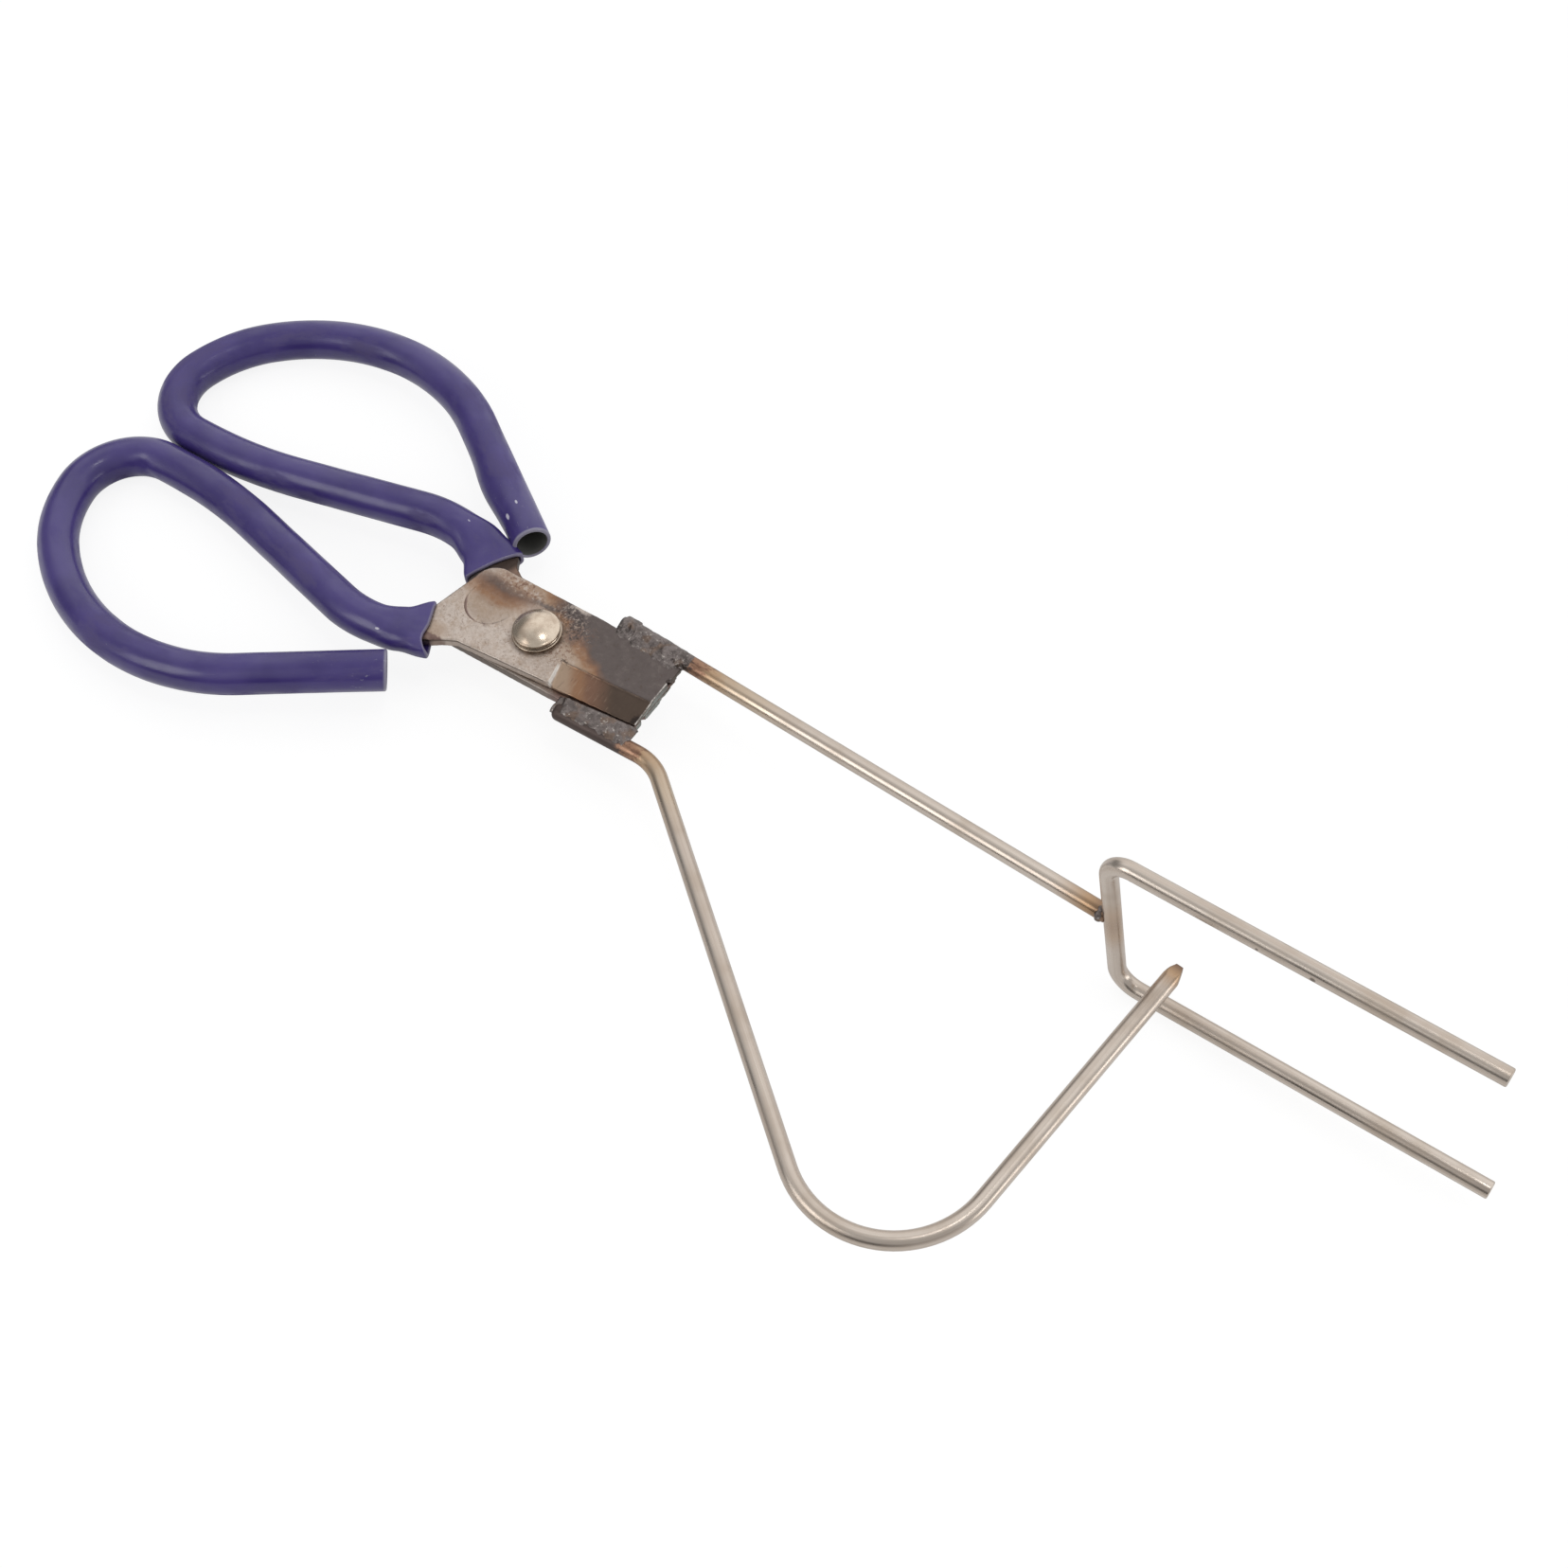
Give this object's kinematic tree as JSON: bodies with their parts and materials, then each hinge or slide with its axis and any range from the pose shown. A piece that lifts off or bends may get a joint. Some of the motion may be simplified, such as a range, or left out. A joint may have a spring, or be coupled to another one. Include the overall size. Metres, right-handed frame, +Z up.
{
  "type": "glaze dipping tongs",
  "caption": "Scissor-handled glaze dipping tongs: a straight rod with a forked end and a bent rod with a single prong, welded to cut-down scissor blades on one rivet.",
  "frame": {"origin": "middle of the outline on the surface that the tongs lie on", "axes": "+X along the tongs from the handle loops to the fork, +Y to the straight arm's side, +Z up with the rivet head on top"},
  "size_m": [0.3676, 0.1408, 0.0539],
  "materials": {
    "blade_steel": "satin forged steel, heat tinted near the welds",
    "rod_steel": "drawn stainless rod, lengthwise lines, straw tint near the welds",
    "rivet_nickel": "bright warm nickel, lightly scratched",
    "weld_metal": "dark, lumpy, as welded",
    "handle_vinyl": "semi-gloss indigo vinyl, scuffed at the open ends"
  },
  "bodies": {
    "upper_half": {"upper_blade": "blade_steel", "upper_sleeve": "handle_vinyl", "pivot_rivet": "rivet_nickel", "head_washer": "rivet_nickel", "tail_washer": "rivet_nickel", "straight_arm": "rod_steel", "fork": "rod_steel", "upper_seam_weld": "weld_metal", "fork_weld": "weld_metal"},
    "lower_half": {"lower_blade": "blade_steel", "lower_sleeve": "handle_vinyl", "bent_arm": "rod_steel", "lower_seam_weld": "weld_metal"}
  },
  "joints": [
    {"name": "rivet_pivot", "type": "hinge", "parent": "upper_half", "child": "lower_half", "pos_m": [-0.05349, 0.01288, 0.01355], "axis": [0.0691, 0, -0.9976], "range_deg": [0, 40]}
  ]
}
